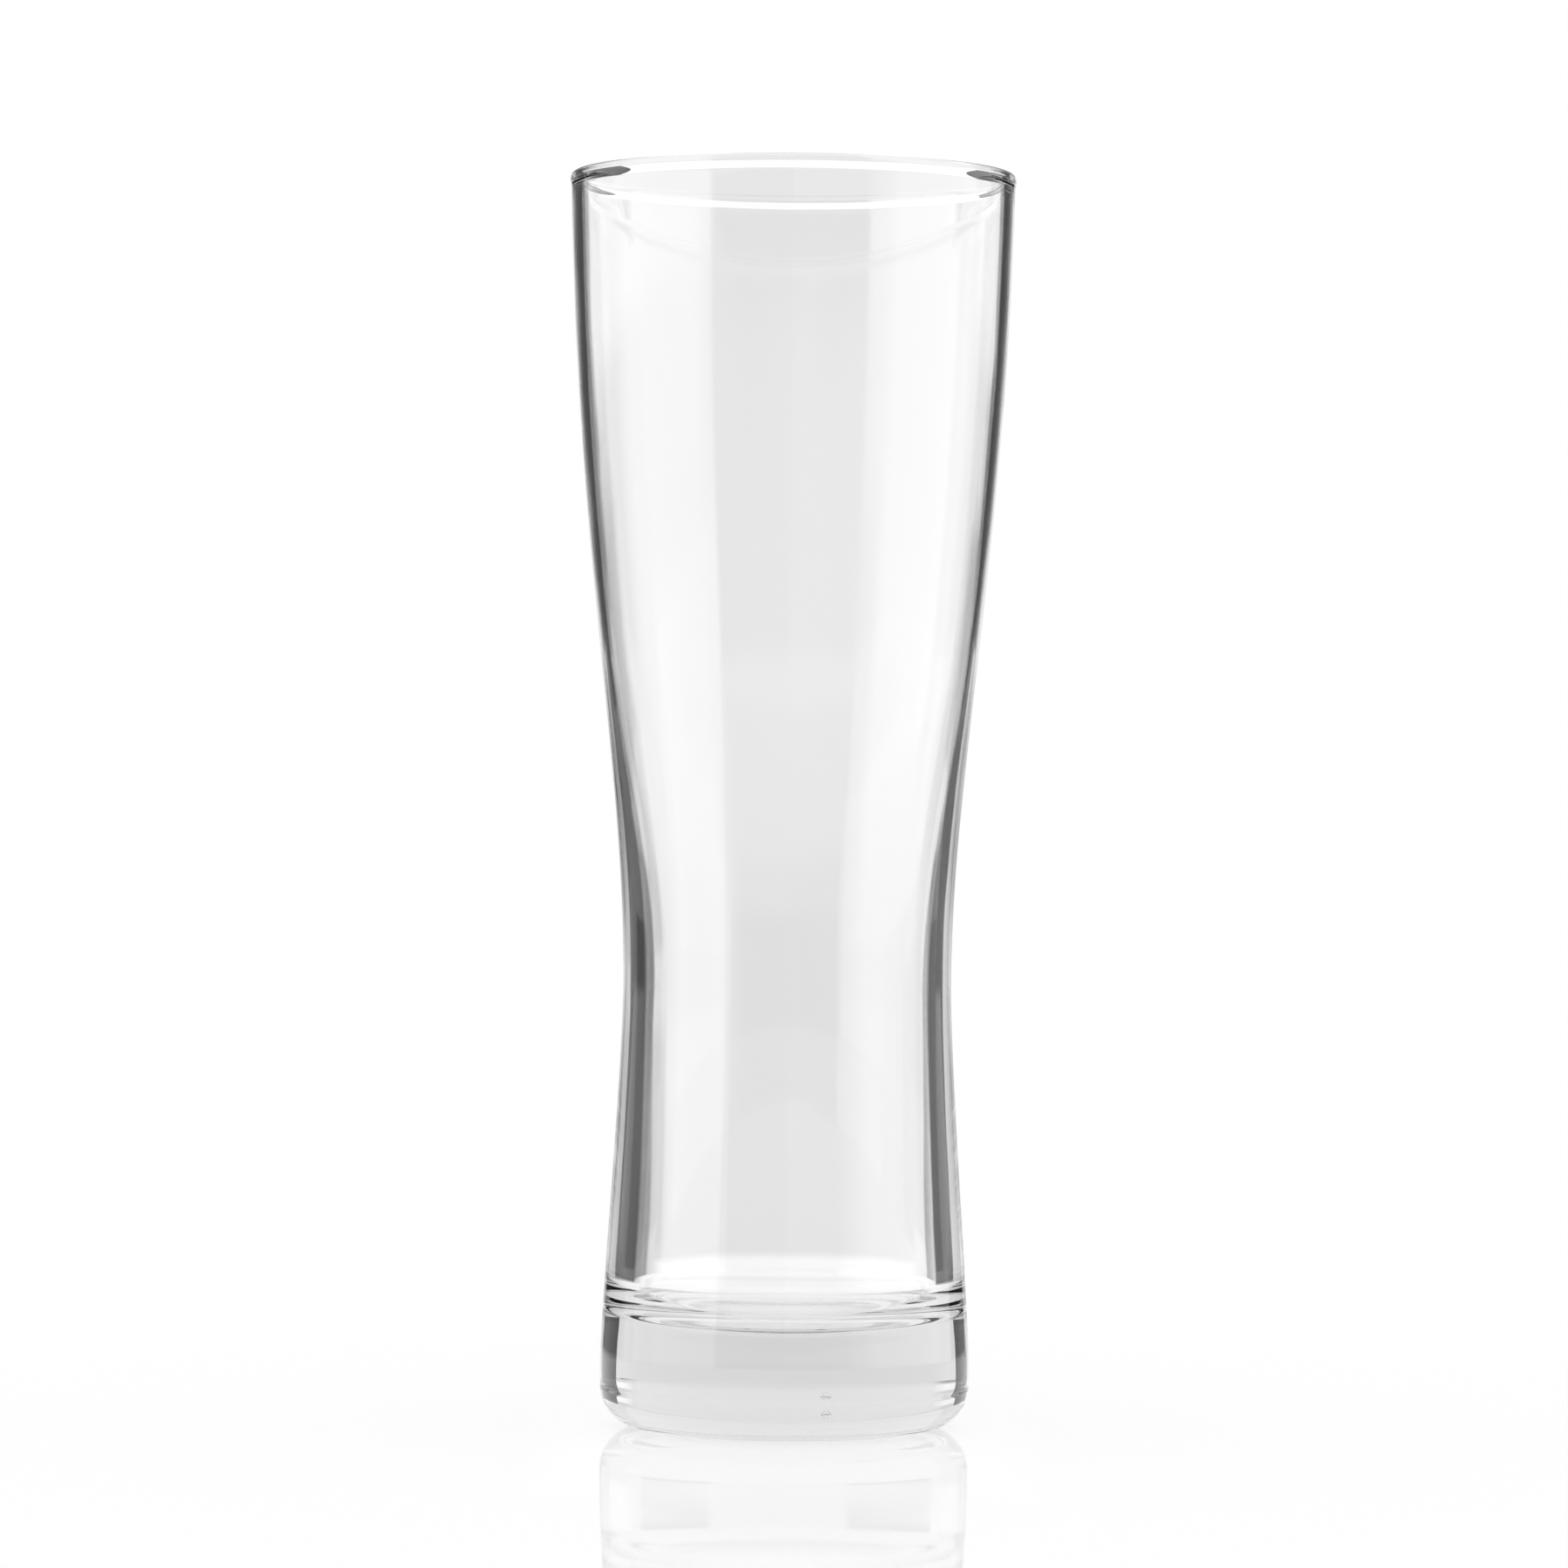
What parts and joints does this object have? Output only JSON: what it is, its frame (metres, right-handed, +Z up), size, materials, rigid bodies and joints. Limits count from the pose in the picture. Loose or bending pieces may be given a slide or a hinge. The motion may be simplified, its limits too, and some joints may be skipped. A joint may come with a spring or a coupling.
{
  "type": "pilsner glass",
  "caption": "Tall clear drinking glass for beer: flared mouth with a rounded lip, gently drawn-in waist, and a thick solid base that it stands on.",
  "frame": {"origin": "centre of the foot, on the plane that the glass stands on", "axes": "+Z up along the axis of revolution, from the foot to the mouth; X and Y are any two level directions, because the glass is round"},
  "size_m": [0.0784, 0.0784, 0.22],
  "materials": {
    "clear_glass": "colourless soda-lime glass, fire-polished, smooth and glossy all over"
  },
  "bodies": {
    "root": {"glass_body": "clear_glass"}
  },
  "joints": []
}
